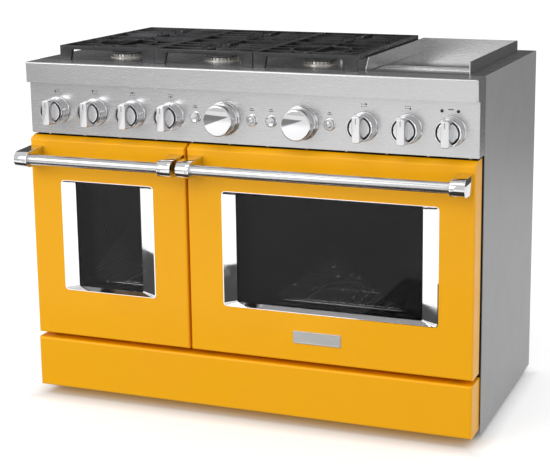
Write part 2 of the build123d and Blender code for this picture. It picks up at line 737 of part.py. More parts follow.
make_base_frame()
make_feet()
make_side_panels()
make_back_panel()
make_kick_panel()
make_front_frame()
make_insulation()
make_racks()
make_heating_elements()
make_lamps()
make_fan()
make_gaskets()
make_hinge_arms()
for door_side in door_sides:
    make_oven_liner(door_side)
    make_door(door_side)
make_nameplate()
make_control_panel()
make_front_trim()
make_knob_bezels()
make_lenses()
for knob_node, knob_x in small_knob_places.items():
    make_knob(knob_node, knob_x)
for knob_node, knob_x in oven_knob_places.items():
    make_oven_knob(knob_node, knob_x)
for button_node, button_x in button_places.items():
    make_button(button_node, button_x)
make_vent_trim()
make_gas_manifold()
make_burners()
make_deck()
make_griddle()
for grate_node, grate_x in grate_centres.items():
    make_grate(grate_node, grate_x)
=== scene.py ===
import bpy
import json
import math
from mathutils import Matrix, Vector


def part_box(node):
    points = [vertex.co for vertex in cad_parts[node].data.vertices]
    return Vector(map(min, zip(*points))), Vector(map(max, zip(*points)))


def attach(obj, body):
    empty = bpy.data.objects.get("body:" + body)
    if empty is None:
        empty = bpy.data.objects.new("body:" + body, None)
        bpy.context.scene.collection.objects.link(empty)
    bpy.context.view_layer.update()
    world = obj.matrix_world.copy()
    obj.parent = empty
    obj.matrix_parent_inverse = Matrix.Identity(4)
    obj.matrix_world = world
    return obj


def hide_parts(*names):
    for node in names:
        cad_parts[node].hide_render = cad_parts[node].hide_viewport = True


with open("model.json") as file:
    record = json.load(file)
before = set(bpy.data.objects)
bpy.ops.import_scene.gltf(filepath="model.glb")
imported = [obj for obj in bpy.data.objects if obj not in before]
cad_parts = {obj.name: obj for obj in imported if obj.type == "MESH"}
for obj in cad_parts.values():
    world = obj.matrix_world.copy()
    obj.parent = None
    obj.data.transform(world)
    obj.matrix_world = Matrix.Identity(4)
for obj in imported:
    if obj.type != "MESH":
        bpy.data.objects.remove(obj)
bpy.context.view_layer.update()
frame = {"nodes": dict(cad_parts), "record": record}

print("frame loaded:", len(frame["nodes"]), "nodes")

milli = 0.001  # the frame is in metres, the sizes below are in millimetres


def deselectAll():
    for obj in list(bpy.context.selected_objects):
        obj.select_set(False)


def activate(obj):
    deselectAll()
    obj.select_set(True)
    bpy.context.view_layer.objects.active = obj


def editMode(kind="FACE"):
    bpy.ops.object.mode_set(mode="EDIT")
    bpy.ops.mesh.select_mode(type=kind)


def objectMode():
    bpy.ops.object.mode_set(mode="OBJECT")


def applyPlace(obj):
    activate(obj)
    bpy.ops.object.transform_apply(location=True, rotation=True, scale=True)


def addBox(name, low, high):
    deselectAll()
    low, high = Vector(low), Vector(high)
    bpy.ops.mesh.primitive_cube_add(size=1, location=(low + high) / 2, scale=high - low)
    obj = bpy.context.active_object
    obj.name = name
    applyPlace(obj)
    return obj


def pickFaces(obj, test):
    # leaves edit mode with just the faces that pass the test selected
    activate(obj)
    editMode("FACE")
    bpy.ops.mesh.select_all(action="DESELECT")
    objectMode()
    for face in obj.data.polygons:
        face.select = test(face.center, face.normal)


def pickEdges(obj, test):
    activate(obj)
    editMode("EDGE")
    bpy.ops.mesh.select_all(action="DESELECT")
    objectMode()
    points = obj.data.vertices
    for edge in obj.data.edges:
        a, b = (points[i].co for i in edge.vertices)
        edge.select = test(a, b)


def bevelAll(obj, width, segments=2, angle=35):
    activate(obj)
    modifier = obj.modifiers.new("bevel", "BEVEL")
    modifier.width = width
    modifier.segments = segments
    modifier.limit_method = "ANGLE"
    modifier.angle_limit = math.radians(angle)
    modifier.harden_normals = False
    bpy.ops.object.modifier_apply(modifier=modifier.name)


def smooth(obj, angle=35):
    activate(obj)
    bpy.ops.object.shade_smooth_by_angle(angle=math.radians(angle))


def flattenSheets(obj, largest=0.0003):
    # wide or many-sided faces are flat sheet, so only the small ones between them are smooth
    for face in obj.data.polygons:
        if face.area > largest or face.loop_total > 4:
            face.use_smooth = False


def joinAll(name, parts):
    deselectAll()
    for part in parts:
        part.select_set(True)
    bpy.context.view_layer.objects.active = parts[0]
    if len(parts) > 1:
        bpy.ops.object.join()
    parts[0].name = name
    return parts[0]


def copyTo(obj, name, step):
    activate(obj)
    bpy.ops.object.duplicate()
    twin = bpy.context.active_object
    twin.name = name
    bpy.ops.transform.translate(value=tuple(step))
    applyPlace(twin)
    return twin


def stackRings(name, centre, direction, profile, segments=48):
    # a round piece: each (radius, distance) is one more ring, extruded and scaled from the last
    deselectAll()
    axis = Vector(direction)
    centre = Vector(centre)
    turn = Vector((0, 0, 1)).rotation_difference(axis).to_euler()
    radius, reach = profile[0]
    bpy.ops.mesh.primitive_circle_add(
        vertices=segments, radius=radius, fill_type="NGON", location=centre + axis * reach, rotation=turn)
    obj = bpy.context.active_object
    obj.name = name
    applyPlace(obj)
    editMode("FACE")
    bpy.ops.mesh.select_all(action="SELECT")
    for nextRadius, nextReach in profile[1:]:
        bpy.ops.mesh.extrude_region_move(
            TRANSFORM_OT_translate={"value": tuple(axis * (nextReach - reach))})
        factor = nextRadius / radius
        scale = [1 if abs(part) > 0.5 else factor for part in axis]
        bpy.ops.transform.resize(value=scale, center_override=tuple(centre + axis * nextReach))
        radius, reach = nextRadius, nextReach
    bpy.ops.mesh.select_all(action="SELECT")
    bpy.ops.mesh.normals_make_consistent(inside=False)
    objectMode()
    return obj


def roundUv(obj, x, z, radius):
    # face-on coordinates round a turned piece's centre, for its spun finish
    layer = obj.data.uv_layers.get("UVMap") or obj.data.uv_layers.new(name="UVMap")
    for loop in obj.data.loops:
        place = obj.data.vertices[loop.vertex_index].co
        layer.data[loop.index].uv = (0.5 + (place.x - x) / radius / 2, 0.5 + (place.z - z) / radius / 2)


def paintFaces(obj, material, test):
    # a second finish on the faces whose centres pass the test
    obj.data.materials.append(material)
    index = len(obj.data.materials) - 1
    for face in obj.data.polygons:
        if test(face.center):
            face.material_index = index


def finishPiece(obj, body, nodes=(), materials=()):
    for material in materials:
        obj.data.materials.append(material)
    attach(obj, body)
    if nodes:
        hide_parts(*nodes)
    return obj


def bodyOf(node):
    for body, members in frame["record"]["behaviour"]["bodies"].items():
        if node in members:
            return body
    return "root"


def refine(node, name, material, bevel=0.0, segments=2, angle=35):
    # a cleaned copy of a frame node, with soft edges and smooth round faces
    source = frame["nodes"][node]
    activate(source)
    bpy.ops.object.duplicate()
    obj = bpy.context.active_object
    obj.name = name
    obj.parent = None
    obj.matrix_world = Matrix.Identity(4)
    for key in list(obj.keys()):
        if key.startswith("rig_"):
            del obj[key]
    obj.data.materials.clear()
    activate(obj)
    bpy.ops.mesh.customdata_custom_splitnormals_clear()
    editMode("VERT")
    bpy.ops.mesh.select_all(action="SELECT")
    bpy.ops.mesh.remove_doubles(threshold=0.00002)
    bpy.ops.mesh.dissolve_limited(angle_limit=math.radians(0.5))
    objectMode()
    if bevel:
        bevelAll(obj, bevel, segments, angle)
    smooth(obj, angle)
    flattenSheets(obj)
    return finishPiece(obj, bodyOf(node), [node], [material])


def newGroup(name, inputs, outputs):
    group = bpy.data.node_groups.new(name, "ShaderNodeTree")
    for label, kind, default in inputs:
        socket = group.interface.new_socket(name=label, in_out="INPUT", socket_type=kind)
        if default is not None:
            socket.default_value = default
    for label, kind in outputs:
        group.interface.new_socket(name=label, in_out="OUTPUT", socket_type=kind)
    start = group.nodes.new("NodeGroupInput")
    end = group.nodes.new("NodeGroupOutput")
    return group, start, end


def noiseNode(tree, scale, detail=4.0, roughness=0.5):
    node = tree.nodes.new("ShaderNodeTexNoise")
    node.inputs["Scale"].default_value = scale
    node.inputs["Detail"].default_value = detail
    node.inputs["Roughness"].default_value = roughness
    return node


def rangeNode(tree, low, high, toLow=0.0, toHigh=1.0):
    node = tree.nodes.new("ShaderNodeMapRange")
    node.inputs["From Min"].default_value = low
    node.inputs["From Max"].default_value = high
    node.inputs["To Min"].default_value = toLow
    node.inputs["To Max"].default_value = toHigh
    return node


def mathNode(tree, operation, second=None):
    node = tree.nodes.new("ShaderNodeMath")
    node.operation = operation
    if second is not None:
        node.inputs[1].default_value = second
    return node


def makeBrushedGrain():
    # long fine scratches: the pattern is squeezed along the brushing direction
    group, start, end = newGroup(
        "brushedGrain",
        [("Vector", "NodeSocketVector", None), ("Stretch", "NodeSocketVector", None)],
        [("Grain", "NodeSocketFloat"), ("Cloud", "NodeSocketFloat")])
    links = group.links
    squeeze = group.nodes.new("ShaderNodeVectorMath")
    squeeze.operation = "MULTIPLY"
    fine = noiseNode(group, 900, 3.0, 0.6)
    cloud = noiseNode(group, 5, 2.0, 0.5)
    links.new(start.outputs["Vector"], squeeze.inputs[0])
    links.new(start.outputs["Stretch"], squeeze.inputs[1])
    links.new(squeeze.outputs["Vector"], fine.inputs["Vector"])
    links.new(start.outputs["Vector"], cloud.inputs["Vector"])
    links.new(fine.outputs["Fac"], end.inputs["Grain"])
    links.new(cloud.outputs["Fac"], end.inputs["Cloud"])
    return group


def makeSmudge():
    # faint handling marks, as a mask of uneven patches
    group, start, end = newGroup(
        "smudge",
        [("Vector", "NodeSocketVector", None), ("Size", "NodeSocketFloat", 8.0)],
        [("Mask", "NodeSocketFloat")])
    patch = noiseNode(group, 8, 5.0, 0.65)
    spread = rangeNode(group, 0.42, 0.68)
    group.links.new(start.outputs["Vector"], patch.inputs["Vector"])
    group.links.new(start.outputs["Size"], patch.inputs["Scale"])
    group.links.new(patch.outputs["Fac"], spread.inputs["Value"])
    group.links.new(spread.outputs["Result"], end.inputs["Mask"])
    return group


def makeEdgeWear():
    # a mask that is strongest on outward edges, broken up by noise
    group, start, end = newGroup(
        "edgeWear",
        [("Vector", "NodeSocketVector", None), ("Sharpness", "NodeSocketFloat", 0.53)],
        [("Mask", "NodeSocketFloat")])
    geometry = group.nodes.new("ShaderNodeNewGeometry")
    edge = rangeNode(group, 0.53, 0.62)
    patch = noiseNode(group, 60, 4.0, 0.6)
    both = mathNode(group, "MULTIPLY")
    group.links.new(start.outputs["Vector"], patch.inputs["Vector"])
    group.links.new(geometry.outputs["Pointiness"], edge.inputs["Value"])
    group.links.new(start.outputs["Sharpness"], edge.inputs["From Min"])
    group.links.new(edge.outputs["Result"], both.inputs[0])
    group.links.new(patch.outputs["Fac"], both.inputs[1])
    group.links.new(both.outputs["Value"], end.inputs["Mask"])
    return group


def makeCastSkin():
    # the pebbled skin of a casting, in two sizes
    group, start, end = newGroup(
        "castSkin",
        [("Vector", "NodeSocketVector", None), ("Coarse", "NodeSocketFloat", 220.0)],
        [("Height", "NodeSocketFloat")])
    coarse = noiseNode(group, 220, 5.0, 0.6)
    fine = noiseNode(group, 1400, 2.0, 0.5)
    add = mathNode(group, "ADD")
    group.links.new(start.outputs["Vector"], coarse.inputs["Vector"])
    group.links.new(start.outputs["Coarse"], coarse.inputs["Scale"])
    group.links.new(start.outputs["Vector"], fine.inputs["Vector"])
    group.links.new(coarse.outputs["Fac"], add.inputs[0])
    group.links.new(fine.outputs["Fac"], add.inputs[1])
    group.links.new(add.outputs["Value"], end.inputs["Height"])
    return group


brushedGrain = makeBrushedGrain()
smudge = makeSmudge()
edgeWear = makeEdgeWear()
castSkin = makeCastSkin()


def startMaterial(name, metallic=0.0, roughness=0.5, colour=None, **plain):
    material = bpy.data.materials.new(name)
    material.use_nodes = True
    tree = material.node_tree
    shader = tree.nodes["Principled BSDF"]
    shader.inputs["Metallic"].default_value = metallic
    shader.inputs["Roughness"].default_value = roughness
    if colour is not None:
        shader.inputs["Base Color"].default_value = (*colour, 1)
    for label, value in plain.items():
        shader.inputs[label.replace("_", " ")].default_value = value
    place = tree.nodes.new("ShaderNodeTexCoord")
    return material, tree, shader, place.outputs["Object"]


def useGroup(tree, group, place, **values):
    node = tree.nodes.new("ShaderNodeGroup")
    node.node_tree = group
    tree.links.new(place, node.inputs["Vector"])
    for label, value in values.items():
        node.inputs[label].default_value = value
    return node


def mixColours(tree, mask, first, second):
    node = tree.nodes.new("ShaderNodeMix")
    node.data_type = "RGBA"
    node.inputs[6].default_value = (*first, 1)
    node.inputs[7].default_value = (*second, 1)
    tree.links.new(mask, node.inputs[0])
    return node.outputs[2]


def addBump(tree, shader, height, strength, distance=0.0005):
    bump = tree.nodes.new("ShaderNodeBump")
    bump.inputs["Strength"].default_value = strength
    bump.inputs["Distance"].default_value = distance
    tree.links.new(height, bump.inputs["Height"])
    tree.links.new(bump.outputs["Normal"], shader.inputs["Normal"])


def spread(tree, value, low, high):
    node = rangeNode(tree, 0.0, 1.0, low, high)
    tree.links.new(value, node.inputs["Value"])
    return node.outputs["Result"]


def makeEnamel(name, colour, shade, roughness=0.2, peel=0.05):
    # stove enamel with a faint orange peel and a clear coat
    material, tree, shader, place = startMaterial(
        name, roughness=roughness, Coat_Weight=0.08, Coat_Roughness=0.08, Specular_IOR_Level=0.22)
    marks = useGroup(tree, smudge, place, Size=6.0)
    tree.links.new(mixColours(tree, marks.outputs["Mask"], colour, shade), shader.inputs["Base Color"])
    rough = spread(tree, marks.outputs["Mask"], roughness - 0.03, roughness + 0.06)
    tree.links.new(rough, shader.inputs["Roughness"])
    peelNoise = noiseNode(tree, 420, 2.0, 0.4)
    tree.links.new(place, peelNoise.inputs["Vector"])
    addBump(tree, shader, peelNoise.outputs["Fac"], peel)
    return material


def makeBrushed(name, stretch, colour, rough, strength, metallic=1.0):
    # sheet steel: stretch is small along the brushing
    material, tree, shader, place = startMaterial(name, metallic=metallic)
    grain = useGroup(tree, brushedGrain, place, Stretch=stretch)
    darker = tuple(part * 0.88 for part in colour)
    tree.links.new(mixColours(tree, grain.outputs["Cloud"], colour, darker), shader.inputs["Base Color"])
    tree.links.new(spread(tree, grain.outputs["Grain"], *rough), shader.inputs["Roughness"])
    addBump(tree, shader, grain.outputs["Grain"], strength, 0.0002)
    return material


def makeChrome(name, colour=(0.86, 0.86, 0.87), rough=(0.03, 0.09)):
    # bright plating with faint handling marks
    material, tree, shader, place = startMaterial(name, metallic=1.0, colour=colour)
    marks = useGroup(tree, smudge, place, Size=25.0)
    tree.links.new(spread(tree, marks.outputs["Mask"], *rough), shader.inputs["Roughness"])
    return material


def makeSpun(name):
    # steel turned on a lathe: fine rings round the piece's own centre
    material, tree, shader, place = startMaterial(name, metallic=1.0, colour=(0.78, 0.78, 0.79))
    flat = tree.nodes.new("ShaderNodeUVMap")
    flat.uv_map = "UVMap"
    centred = tree.nodes.new("ShaderNodeVectorMath")
    centred.operation = "SUBTRACT"
    centred.inputs[1].default_value = (0.5, 0.5, 0)
    length = tree.nodes.new("ShaderNodeVectorMath")
    length.operation = "LENGTH"
    rings = tree.nodes.new("ShaderNodeTexNoise")
    rings.noise_dimensions = "1D"
    rings.inputs["Scale"].default_value = 130
    rings.inputs["Detail"].default_value = 2
    tree.links.new(flat.outputs["UV"], centred.inputs[0])
    tree.links.new(centred.outputs["Vector"], length.inputs[0])
    tree.links.new(length.outputs["Value"], rings.inputs["W"])
    tree.links.new(spread(tree, rings.outputs["Fac"], 0.46, 0.58), shader.inputs["Roughness"])
    addBump(tree, shader, rings.outputs["Fac"], 0.08, 0.0002)
    return material


def makeIron(name, colour, roughness, strength):
    # cast iron or its enamel, worn lighter along its edges
    material, tree, shader, place = startMaterial(name, roughness=roughness)
    wear = useGroup(tree, edgeWear, place, Sharpness=0.52)
    worn = tuple(part * 9 for part in colour)
    tree.links.new(mixColours(tree, wear.outputs["Mask"], colour, worn), shader.inputs["Base Color"])
    skin = useGroup(tree, castSkin, place, Coarse=260.0)
    addBump(tree, shader, skin.outputs["Height"], strength)
    marks = useGroup(tree, smudge, place, Size=20.0)
    rough = spread(tree, marks.outputs["Mask"], roughness - 0.06, roughness + 0.12)
    tree.links.new(rough, shader.inputs["Roughness"])
    return material


def makeCavityEnamel(name):
    # dark blue-black enamel with small pale flecks
    material, tree, shader, place = startMaterial(name, roughness=0.18)
    flecks = tree.nodes.new("ShaderNodeTexVoronoi")
    flecks.inputs["Scale"].default_value = 260
    tree.links.new(place, flecks.inputs["Vector"])
    near = rangeNode(tree, 0.16, 0.1)
    tree.links.new(flecks.outputs["Distance"], near.inputs["Value"])
    tree.links.new(mixColours(tree, near.outputs["Result"], (0.012, 0.014, 0.022), (0.2, 0.22, 0.26)),
                   shader.inputs["Base Color"])
    peel = noiseNode(tree, 300, 2.0, 0.4)
    tree.links.new(place, peel.inputs["Vector"])
    addBump(tree, shader, peel.outputs["Fac"], 0.05)
    return material


def makeGalvanised(name):
    # zinc with its large flat crystals
    material, tree, shader, place = startMaterial(name, metallic=1.0)
    crystal = tree.nodes.new("ShaderNodeTexVoronoi")
    crystal.inputs["Scale"].default_value = 55
    tree.links.new(place, crystal.inputs["Vector"])
    grey = tree.nodes.new("ShaderNodeSeparateColor")
    tree.links.new(crystal.outputs["Color"], grey.inputs["Color"])
    tree.links.new(mixColours(tree, grey.outputs["Red"], (0.48, 0.49, 0.5), (0.64, 0.65, 0.67)),
                   shader.inputs["Base Color"])
    tree.links.new(spread(tree, grey.outputs["Green"], 0.3, 0.5), shader.inputs["Roughness"])
    return material


def makeGrain(name, colour, roughness, scale, strength, metallic=0.0):
    # plain moulded or painted surface with a fine even grain
    material, tree, shader, place = startMaterial(name, metallic=metallic, roughness=roughness)
    darker = tuple(part * 0.93 for part in colour)
    marks = useGroup(tree, smudge, place, Size=10.0)
    tree.links.new(mixColours(tree, marks.outputs["Mask"], colour, darker), shader.inputs["Base Color"])
    grain = noiseNode(tree, scale, 3.0, 0.5)
    tree.links.new(place, grain.inputs["Vector"])
    rough = spread(tree, grain.outputs["Fac"], roughness - 0.06, roughness + 0.06)
    tree.links.new(rough, shader.inputs["Roughness"])
    addBump(tree, shader, grain.outputs["Fac"], strength)
    return material


def makeGlass(name, tint):
    # smoked or clear sheet glass with faint handling marks
    material, tree, shader, place = startMaterial(
        name, roughness=0.02, colour=tint, Transmission_Weight=1.0, IOR=1.22)
    marks = useGroup(tree, smudge, place, Size=5.0)
    tree.links.new(spread(tree, marks.outputs["Mask"], 0.0, 0.04), shader.inputs["Roughness"])
    return material


def makeWoven(name, colour):
    # braided glass-fibre rope
    material, tree, shader, place = startMaterial(name, roughness=0.85)
    weave = tree.nodes.new("ShaderNodeTexWave")
    weave.wave_type = "BANDS"
    weave.bands_direction = "DIAGONAL"
    weave.inputs["Scale"].default_value = 180
    weave.inputs["Distortion"].default_value = 1.5
    tree.links.new(place, weave.inputs["Vector"])
    darker = tuple(part * 0.45 for part in colour)
    tree.links.new(mixColours(tree, weave.outputs["Fac"], darker, colour), shader.inputs["Base Color"])
    addBump(tree, shader, weave.outputs["Fac"], 0.6, 0.001)
    return material


def makeHeater(name):
    # heater sheath, darkened unevenly by heat
    material, tree, shader, place = startMaterial(name, metallic=0.8)
    burn = noiseNode(tree, 14, 4.0, 0.6)
    tree.links.new(place, burn.inputs["Vector"])
    tree.links.new(mixColours(tree, burn.outputs["Fac"], (0.03, 0.03, 0.035), (0.12, 0.09, 0.07)),
                   shader.inputs["Base Color"])
    tree.links.new(spread(tree, burn.outputs["Fac"], 0.35, 0.6), shader.inputs["Roughness"])
    return material


yellowEnamel = makeEnamel("yellowEnamel", (0.98, 0.455, 0.003), (0.965, 0.44, 0.003), 0.34)
greyPaint = makeGrain("greyPaint", (0.33, 0.33, 0.335), 0.42, 700, 0.08)
steelAcross = makeBrushed("steelAcross", (0.02, 1, 1), (0.58, 0.58, 0.585), (0.17, 0.34), 0.07, 0.82)
steelDeck = makeBrushed("steelDeck", (0.02, 1, 1), (0.6, 0.6, 0.605), (0.2, 0.34), 0.05)
steelDeep = makeBrushed("steelDeep", (1, 0.02, 1), (0.72, 0.72, 0.73), (0.22, 0.36), 0.08)
plateSteel = makeGrain("plateSteel", (0.62, 0.62, 0.61), 0.42, 900, 0.05, metallic=0.45)
steelHandle = makeBrushed("steelHandle", (0.02, 1, 1), (0.56, 0.56, 0.57), (0.2, 0.32), 0.05)
chrome = makeChrome("chrome", (0.68, 0.68, 0.69))
bezelChrome = makeChrome("bezelChrome")
spunSteel = makeSpun("spunSteel")
# near black: painted shade in the door-top gap, knob grooves and ring bores, and the real black screws and
# grip lines
paintedShadeAndBlackParts = makeGrain("paintedShadeAndBlackParts", (0.008, 0.008, 0.009), 0.5, 900, 0.05)
castIron = makeIron("castIron", (0.012, 0.012, 0.013), 0.26, 0.16)
capEnamel = makeIron("capEnamel", (0.02, 0.02, 0.021), 0.3, 0.12)
burnerAlloy = makeGrain("burnerAlloy", (0.62, 0.6, 0.56), 0.4, 800, 0.3, metallic=1.0)
ceramicWhite = makeEnamel("ceramicWhite", (0.82, 0.8, 0.75), (0.76, 0.73, 0.68), 0.3, 0.05)
griddleSteel = makeBrushed("griddleSteel", (0.02, 1, 1), (0.55, 0.55, 0.55), (0.05, 0.13), 0.02)
cavityEnamel = makeCavityEnamel("cavityEnamel")
galvanised = makeGalvanised("galvanised")
chassisPaint = makeGrain("chassisPaint", (0.03, 0.03, 0.032), 0.5, 500, 0.15)
footPlastic = makeGrain("footPlastic", (0.02, 0.02, 0.02), 0.6, 900, 0.3)
darkGlass = makeGlass("darkGlass", (0.6, 0.6, 0.61))
clearGlass = makeGlass("clearGlass", (0.9, 0.92, 0.9))
lampGlass = makeGlass("lampGlass", (0.95, 0.95, 0.9))
wirePlate = makeChrome("wirePlate", (0.66, 0.66, 0.66), (0.16, 0.3))
sealWeave = makeWoven("sealWeave", (0.42, 0.41, 0.38))
woolWeave = makeWoven("woolWeave", (0.6, 0.5, 0.28))
heaterSheath = makeHeater("heaterSheath")
gasSteel = makeGrain("gasSteel", (0.5, 0.5, 0.5), 0.4, 300, 0.1, metallic=1.0)
motorPaint = makeGrain("motorPaint", (0.1, 0.1, 0.105), 0.45, 500, 0.1)
ventBlack = makeGrain("ventBlack", (0.01, 0.01, 0.01), 0.5, 600, 0.1)
inkGrey = makeGrain("inkGrey", (0.06, 0.06, 0.065), 0.5, 900, 0.02)
lensPlastic = makeEnamel("lensPlastic", (0.02, 0.02, 0.024), (0.03, 0.03, 0.034), 0.12, 0.02)
print("materials made:", len(bpy.data.materials))


sheetPieces = {
    # node: (piece name, material, edge softness in mm)
    "left_door_skin": ("leftDoorSkin", yellowEnamel, 0.0),
    "right_door_skin": ("rightDoorSkin", yellowEnamel, 0.0),
    "kick_panel": ("kickPanel", yellowEnamel, 0.0),
    "left_window_bezel": ("leftWindowBezel", bezelChrome, 0.5),
    "right_window_bezel": ("rightWindowBezel", bezelChrome, 0.5),
    "left_door_liner": ("leftDoorLiner", cavityEnamel, 0.6),
    "right_door_liner": ("rightDoorLiner", cavityEnamel, 0.6),
    "left_door_hinges": ("leftDoorHinges", galvanised, 0.4),
    "right_door_hinges": ("rightDoorHinges", galvanised, 0.4),
    "door_hinge_arms": ("doorHingeArms", galvanised, 0.4),
    "side_panels": ("sidePanels", greyPaint, 0.5),
    "back_panel": ("backPanel", galvanised, 0.0),
    "oven_front_frame": ("ovenFrontFrame", cavityEnamel, 0.4),
    "left_oven_liner": ("leftOvenLiner", cavityEnamel, 0.0),
    "right_oven_liner": ("rightOvenLiner", cavityEnamel, 0.0),
    "oven_insulation": ("ovenInsulation", woolWeave, 0.0),
    "fan_baffle": ("fanBaffle", cavityEnamel, 0.3),
    "convection_fan": ("convectionFan", galvanised, 0.0),
    "fan_motor": ("fanMotor", motorPaint, 0.5),
    "oven_gaskets": ("ovenGaskets", sealWeave, 0.0),
    "heating_elements": ("heatingElements", heaterSheath, 0.0),
    "control_panel": ("controlPanel", steelAcross, 0.0),
    "front_trim": ("frontTrim", steelAcross, 0.9),
    "cooktop_deck": ("cooktopDeck", steelDeck, 0.4),
    "vent_trim": ("ventTrim", ventBlack, 0.0),
    "gas_manifold": ("gasManifold", gasSteel, 0.5),
    "griddle_frame": ("griddleFrame", steelDeck, 0.4),
    "griddle_plate": ("griddlePlate", griddleSteel, 0.5),
    "grease_tray": ("greaseTray", steelDeck, 0.5),
    "base_frame": ("baseFrame", chassisPaint, 0.8),
    "burner_heads": ("burnerHeads", burnerAlloy, 0.0),
    "grate_left": ("grateLeft", castIron, 1.3),
    "grate_centre": ("grateCentre", castIron, 1.3),
    "grate_right": ("grateRight", castIron, 1.3),
    "nameplate": ("nameplate", plateSteel, 0.3),
}
refined = {}
for node, (pieceName, material, softness) in sheetPieces.items():
    refined[node] = refine(node, pieceName, material, softness * milli)
print("sheet pieces refined:", len(refined))


# the doors' top faces behind the slope are painted black as shade, standing in for the shadowed vent gap,
# and the vent's tabs are steel
doorTop = {"z": 715.5 * milli, "y": -255 * milli, "tabs": -257.2 * milli}
for side in ("left", "right"):
    paintFaces(refined[f"{side}_door_skin"], paintedShadeAndBlackParts,
               lambda centre: centre.z > doorTop["z"] and centre.y > doorTop["y"])
paintFaces(refined["vent_trim"], steelAcross, lambda centre: centre.y < doorTop["tabs"])

# a web under each grate's back rail
grateNodes = ("grate_left", "grate_centre", "grate_right")
grateWeb = {"inset": 20 * milli, "front": 8 * milli, "back": 2 * milli,
            "top": 8 * milli, "bottom": 30 * milli}
for node in grateNodes:
    w = grateWeb
    low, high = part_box(node)
    web = addBox(node + "Web", (low.x + w["inset"], high.y - w["front"], high.z - w["bottom"]),
                 (high.x - w["inset"], high.y - w["back"], high.z - w["top"]))
    bevelAll(web, 1.2 * milli, 2)
    smooth(web)
    finishPiece(web, bodyOf(node), [], [castIron])

# two burners under each grate; an igniter stands just outside its burner
burner = {"rows": (-101 * milli, 183 * milli), "igniterReach": 46.5 * milli}
burnerPlaces = []
for node in grateNodes:
    low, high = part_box(node)
    for y in burner["rows"]:
        burnerPlaces.append(Vector(((low.x + high.x) / 2, y, 0)))


def isIgniter(centre):
    flat = Vector((centre.x, centre.y, 0))
    return all((flat - place).length > burner["igniterReach"] for place in burnerPlaces)


paintFaces(refined["burner_heads"], ceramicWhite, isIgniter)
print("grate webs, igniters and vent tabs finished")


def makeDoorGlass(side):
    # the outer pane is smoked, and the ones behind it are clear
    obj = refine(f"{side}_door_glass", f"{side}DoorGlass", darkGlass, 0.4 * milli)
    paintFaces(obj, clearGlass, lambda centre: centre.y > -240 * milli)


for side in ("left", "right"):
    makeDoorGlass(side)
print("door glass made")


handle = {
    "axisY": -344 * milli,
    "axisZ": 665 * milli,
    "tubeRadius": 13.75 * milli,
    "noseRadius": 20 * milli,
    "bracketWidth": 38 * milli,
    "footHalf": 25 * milli,
    "doorY": -278 * milli,
    "screwRadius": 3.2 * milli,
    "screwInset": 8 * milli,
    "screwDrop": 2 * milli,
    "collar": 4 * milli,
}


def makeBracket(name, startX, screwX):
    # a block with a round nose that flares out to its foot on the door
    h = handle
    nose = h["noseRadius"]
    obj = addBox(name, (startX, h["axisY"] - nose, h["axisZ"] - nose),
                 (startX + h["bracketWidth"], h["doorY"], h["axisZ"] + nose))
    pickFaces(obj, lambda centre, normal: normal.y > 0.9)
    editMode("FACE")
    grow = h["footHalf"] / nose
    bpy.ops.transform.resize(value=(1, 1, grow), center_override=(startX, h["doorY"], h["axisZ"]))
    objectMode()
    frontY = h["axisY"] - nose + 1e-4
    pickEdges(obj, lambda a, b: a.y < frontY and b.y < frontY and abs(a.z - b.z) < 1e-5)
    editMode("EDGE")
    bpy.ops.mesh.bevel(offset=nose * 0.985, segments=14, profile=0.5)
    objectMode()
    bevelAll(obj, 1.6 * milli, 3, 40)
    smooth(obj, 40)
    obj.data.materials.append(chrome)
    screw = h["screwRadius"]
    place = (screwX, h["axisY"] - nose + 1.0 * milli, h["axisZ"] - h["screwDrop"])
    socket = stackRings(name + "Screw", place, (0, -1, 0), [
        (screw, 0), (screw, 1.15 * milli), (screw * 0.8, 1.2 * milli), (screw * 0.7, 0.3 * milli)], 16)
    socket.data.materials.append(paintedShadeAndBlackParts)
    return joinAll(name, [obj, socket])


def makeHandle(side):
    h = handle
    low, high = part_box(f"{side}_handle_brackets")
    body = f"{side}_door"
    firstX, lastX = low.x, high.x - h["bracketWidth"]
    first = makeBracket(f"{side}HandleBracketA", firstX, firstX + h["bracketWidth"] - h["screwInset"])
    last = makeBracket(f"{side}HandleBracketB", lastX, lastX + h["screwInset"])
    pair = joinAll(f"{side}HandleBrackets", [first, last])
    finishPiece(pair, body, [f"{side}_handle_brackets"])
    length = lastX - firstX - h["bracketWidth"]
    r = h["tubeRadius"]
    collar = h["collar"]
    tube = stackRings(f"{side}HandleBar", (firstX + h["bracketWidth"], h["axisY"], h["axisZ"]), (1, 0, 0),
                      [(r * 1.12, -0.5 * milli), (r * 1.12, collar * 0.8), (r * 1.05, collar), (r, collar),
                       (r, length - collar), (r * 1.05, length - collar), (r * 1.12, length - collar * 0.8),
                       (r * 1.12, length + 0.5 * milli)], 56)
    smooth(tube, 30)
    finishPiece(tube, body, [f"{side}_handle_bar"], [steelHandle])


for side in ("left", "right"):
    makeHandle(side)
print("handles made")


panelY = -261 * milli
knobBaseY = -266.6 * milli
knobZ = 785 * milli
smallKnob = {"outer": 33.5, "skirt": 35.5, "disc": 26.0, "depth": 31.4, "grip": 26.0, "gripHalf": 11.8,
             "taper": 0.84, "lineHalf": 0.7}
ovenKnob = {"outer": 39.5, "skirt": 43.0, "face": 35.0, "depth": 39.4, "markTurn": 55}


def scaled(profile):
    # a profile of (radius, distance) in millimetres, made metres
    return [(radius * milli, reach * milli) for radius, reach in profile]


def fromAxis(centre, x):
    return Vector((centre.x - x, 0, centre.z - knobZ)).length


def addSpindle(name, base):
    spindle = stackRings(name, base, (0, 1, 0), scaled([(4, 0), (4, 19), (3.4, 19.6)]), 20)
    spindle.data.materials.append(galvanised)
    return spindle


